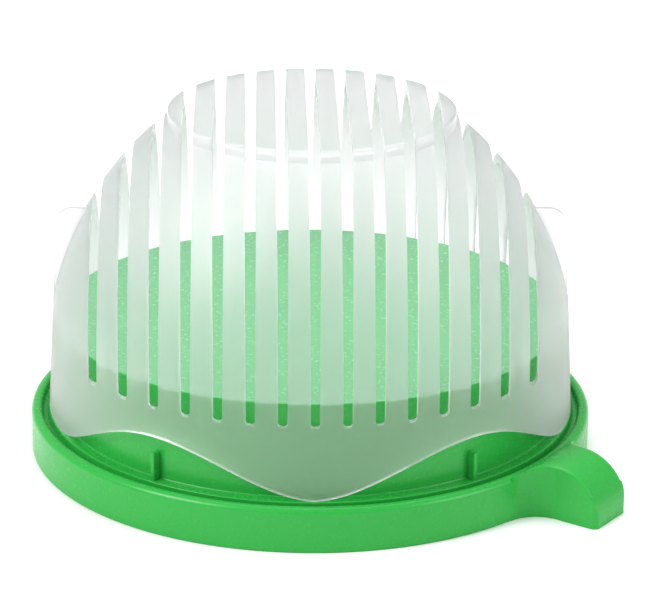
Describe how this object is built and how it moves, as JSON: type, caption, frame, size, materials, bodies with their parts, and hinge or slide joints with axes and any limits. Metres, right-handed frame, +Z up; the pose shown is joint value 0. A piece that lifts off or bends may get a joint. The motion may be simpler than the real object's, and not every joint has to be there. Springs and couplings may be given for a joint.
{
  "type": "salad cutter bowl",
  "caption": "Slotted plastic dome bowl that stands upside down over a raised round chopping board with a handle, so that salad can be cut through its slots.",
  "frame": {"origin": "centre of the base's underside, at the level of the table and on the bowl's axis", "axes": "+Z up along the bowl's axis, Y along the knife slots with -Y towards the front, +X to the right, the side that the handle is on"},
  "size_m": [0.2034, 0.1972, 0.1224],
  "materials": {
    "green_plastic": "glossy opaque green moulding",
    "frosted_plastic": "frosted translucent white moulding"
  },
  "bodies": {
    "base": {"base": "green_plastic"},
    "bowl": {"bowl": "frosted_plastic"}
  },
  "joints": [
    {"name": "bowl_lift", "type": "slide", "parent": "base", "child": "bowl", "axis": [0, 0, 1], "range_m": [0, 0.06]}
  ]
}
